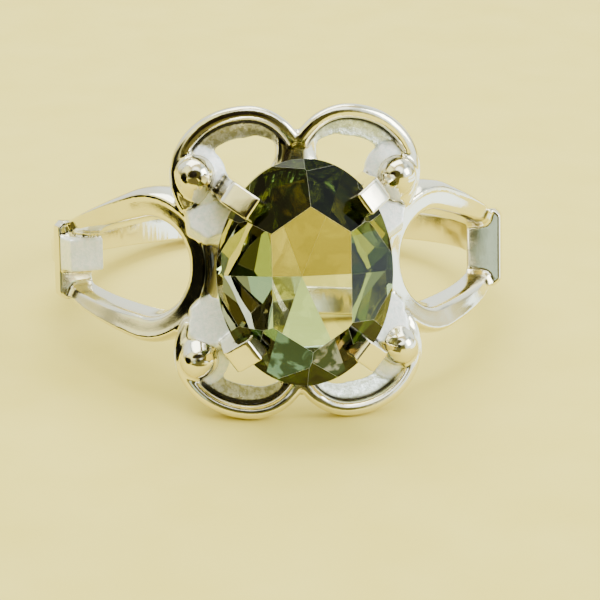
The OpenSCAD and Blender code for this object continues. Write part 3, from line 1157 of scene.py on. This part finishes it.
def silver_colour(tree, place, mottle, dish, filed):
    """Polished metal, grain on the dished faces, frost on the filed ones, tarnish and painted shade.
    """
    # Painted light: the dished faces turn paler and bluer towards the right.
    across = add_node(tree, "SeparateXYZ", Vector=place).outputs["X"]
    painted_light_to_right = ramped(tree, across, -1.0, 2.0)
    cast = [mixed(tree, painted_light_to_right, *pair) for pair in zip(CAST_PAINTED_SHADE_LEFT, CAST_PAINTED_SKY_RIGHT)]
    clean = mixed(tree, dish, POLISHED, mixed(tree, mottle, *cast))
    clean = mixed(tree, filed, clean, mixed(tree, mottle, *FROST_AND_PAINTED_SKY))
    # One mask holds tarnish and painted shade; both darken the metal.
    tarnish = ramped(tree, mask(tree, "tarnish_and_painted_shade_mask"), 0.3, 1.0, curve="LINEAR")
    return mixed(tree, tarnish, clean, TARNISH_AND_PAINTED_SHADE)


def silver_relief(tree, place, grain, dish, filed):
    """Waves from the file, fine scratches over them, and the grain of the rough faces."""
    waves = noise(tree, place, scale=0.9, detail=1)
    wavy = relief(tree, waves, strength=0.25, depth=0.06)
    drawn = add_node(tree, "Mapping", Vector=place, Scale=SCRATCH_STRETCH, Rotation=SCRATCH_TURN)
    scratches = noise(tree, drawn.outputs["Vector"], scale=1.5, detail=3)
    scratched = relief(tree, scratches, strength=0.08, depth=0.02, Normal=wavy)
    rough_faces = worked_out(tree, "MULTIPLY_ADD", filed, 0.5, dish)
    grained = worked_out(tree, "MULTIPLY", grain, rough_faces)
    return relief(tree, grained, strength=0.7, depth=0.08, Normal=scratched)


def silver_finish():
    material, tree, output = new_material("worn_silver")
    place = in_mm(tree)
    dish, filed = mask(tree, "dish"), mask(tree, "filed")
    grain = noise(tree, place, scale=5, detail=5, Roughness=0.7)
    mottle = ramped(tree, grain, 0.38, 0.62)
    touched = noise(tree, place, scale=1.3, detail=4)
    wear = ramped(tree, touched, 0.35, 0.75, at_low=0.05, at_high=0.16, curve="LINEAR")
    rough = worked_out(tree, "MULTIPLY_ADD", dish, DISH_ROUGHNESS, wear)
    coat(
        tree, output, "BsdfPrincipled",
        Base_Color=silver_colour(tree, place, mottle, dish, filed),
        Metallic=worked_out(tree, "MULTIPLY_ADD", filed, FILED_METAL - 1, 1.0),
        Roughness=worked_out(tree, "MULTIPLY_ADD", filed, FILED_ROUGHNESS, rough),
        Normal=silver_relief(tree, place, grain, dish, filed),
    )
    return material


def finished_piece(name, mesh, material, node):
    """A mesh in ring millimetres becomes a piece that stands for a CAD node."""
    mesh.transform(laid_down)
    mesh.name = name
    mesh.materials.clear()
    mesh.materials.append(material)
    piece = as_object(name, mesh)
    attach(piece, "root")
    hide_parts(node)
    print(name, "stands for", node)


silver.shade_smooth()
finished_piece("silver_body", silver, silver_finish(), "silver_mount")

# %% [markdown]
# ## Stone finish
# The stone is clear glass-like quartz with a faint grey-green body colour, which belongs
# in the volume, so thick parts are deeper in tone than thin ones. Each facet of a real
# stone also shows another bit of its surroundings, much of it dark. This scene is plainer
# than a room, so each kind of facet has its own tone, chosen by its lean and the way it
# faces, and blots of noise stand in for small dark reflections. The edges of an old stone
# are rubbed, and a narrow frosted bevel lets them catch the light as thin pale lines.

# %% Finish the stone
# Painted dark reflection: the colour of the blots on the facets.
PAINTED_DARK_REFLECTION = (0.055, 0.07, 0.022, 1)
# How much denser the blots are below one height in mm than above another.
blot_gain, blots_from, blots_to = 0.2, 2.0, 3.1
QUARTZ = {"Color": (0.68, 0.66, 0.44, 1), "Density": 220.0}
# A dark tint on the reflection keeps the sky from lying over the facets as a veil.
VEIL = (0.25, 0.25, 0.2, 1)
# Roughness that a rubbed edge adds, and how clear it stays.
RUBBED_ROUGHNESS, RUBBED_CLEAR = 0.5, 0.65


def facet_colour(tree, place):
    """Each facet's painted reflection and blots, squared, as the shader takes the root on each way
    through.
    """
    facet = add_node(tree, "Attribute", {"attribute_name": "facet"})
    height = add_node(tree, "SeparateXYZ", Vector=place).outputs["Z"]
    denser = ramped(tree, height, blots_from, blots_to, blot_gain, 0.0)
    clouds = noise(tree, place, scale=1.1, detail=3, Distortion=0.6)
    spots = worked_out(tree, "ADD", clouds, denser)
    blot = worked_out(tree, "MULTIPLY", ramped(tree, spots, 0.43, 0.52), facet.outputs["Alpha"])
    tone = mixed(tree, blot, facet.outputs["Color"], PAINTED_DARK_REFLECTION)
    return add_node(tree, "Gamma", Color=tone, Gamma=2.0).outputs[0]


def stone_finish():
    material, tree, output = new_material("smoky_green_stone")
    place = in_mm(tree)
    touched = noise(tree, place, scale=4, detail=3)
    dull = ramped(tree, touched, 0.4, 0.8, at_low=0.0, at_high=0.03, curve="LINEAR")
    rubbed = mask(tree, "rubbed")
    coat(
        tree, output, "BsdfPrincipled",
        Base_Color=facet_colour(tree, place),
        Roughness=worked_out(tree, "MULTIPLY_ADD", rubbed, RUBBED_ROUGHNESS, dull),
        IOR=1.54,
        Transmission_Weight=worked_out(tree, "MULTIPLY_ADD", rubbed, RUBBED_CLEAR - 1, 1.0),
        Specular_Tint=VEIL,
    )
    body = add_node(tree, "VolumeAbsorption", **QUARTZ)
    feed(tree, output.inputs["Volume"], body.outputs[0])
    return material


# %% Paint the facets' reflections
# For each kind of facet: the ways it may face in degrees, its tone, a painted reflection
# of what it would show, and how blotted it looks.
CLEAR = (0.98, 0.99, 0.95, 0.12)
CROWN_PAINTED_REFLECTIONS = [
    ((-20, 20), (0.42, 0.58, 0.38, 0)),
    ((20, 90), (0.15, 0.18, 0.05, 1)),
    ((90, 160), (0.11, 0.15, 0.04, 1)),
    ((160, 200), (0.98, 0.98, 0.92, 0)),
    ((200, 270), (0.27, 0.31, 0.13, 1)),
    ((270, 340), (0.66, 0.46, 0.24, 1)),
]
RIM_PAINTED_REFLECTIONS = [
    ((-30, 30), (0.60, 0.66, 0.42, 0)),
    ((30, 150), (0.08, 0.10, 0.03, 1)),
    ((150, 210), (0.80, 0.78, 0.50, 0)),
    ((210, 330), (0.06, 0.12, 0.03, 0.5)),
]
PAVILION_PAINTED_REFLECTIONS = [
    ((0, 120), (0.46, 0.42, 0.18, 0)),
    ((120, 180), (0.60, 0.56, 0.33, 0)),
    ((180, 240), (0.42, 0.50, 0.36, 0.6)),
    ((240, 300), (0.54, 0.78, 0.92, 0)),
    ((300, 360), (0.84, 0.88, 0.76, 0)),
]
# Facets that lean less than the first or more than the second are table and girdle.
least_lean, most_lean = 5, 85
steepest_main = 41
rub_w, rub_turn = 0.045, radians(8)


def painted_facet_reflection(normal):
    """Painted reflection of a facet, from its lean and the way it faces in the plane of the girdle.
    """
    lean_angle = degrees(acos(min(1, abs(normal.z))))
    if not least_lean < lean_angle < most_lean:
        return CLEAR
    tones = PAVILION_PAINTED_REFLECTIONS
    if normal.z > 0:
        tones = RIM_PAINTED_REFLECTIONS if lean_angle > steepest_main else CROWN_PAINTED_REFLECTIONS
    turn = degrees(atan2(normal.y, normal.x))
    for (low, high), tone in tones:
        if low <= turn < high or low <= turn + 360 < high:
            return tone
    return CLEAR


worn_edges = [
    edge for edge in stone_shape.edges
    if edge.is_manifold and edge.calc_face_angle(0) > rub_turn
]
rubbed_faces = bmesh.ops.bevel(
    stone_shape, geom=worn_edges, offset=rub_w, segments=1, affect="EDGES", clamp_overlap=True
)["faces"]
stone_shape.normal_update()
is_rubbed = [face in rubbed_faces for face in stone_shape.faces]
tones = [
    CLEAR if rubbed else painted_facet_reflection(face.normal)
    for face, rubbed in zip(stone_shape.faces, is_rubbed)
]
stone_mesh = as_mesh("cut_stone", facing(stone_shape, girdle_out))
# The facet attribute holds each facet's painted reflection and how blotted it looks.
facets = stone_mesh.attributes.new("facet", "FLOAT_COLOR", "FACE")
facets.data.foreach_set("color", np.array(tones, dtype=np.float32).ravel())
stone_mesh.attributes.new("rubbed", "FLOAT", "FACE").data.foreach_set("value", is_rubbed)
print("toned facets:", sum(tone != CLEAR for tone in tones))
finished_piece("cut_stone", stone_mesh, stone_finish(), "stone")
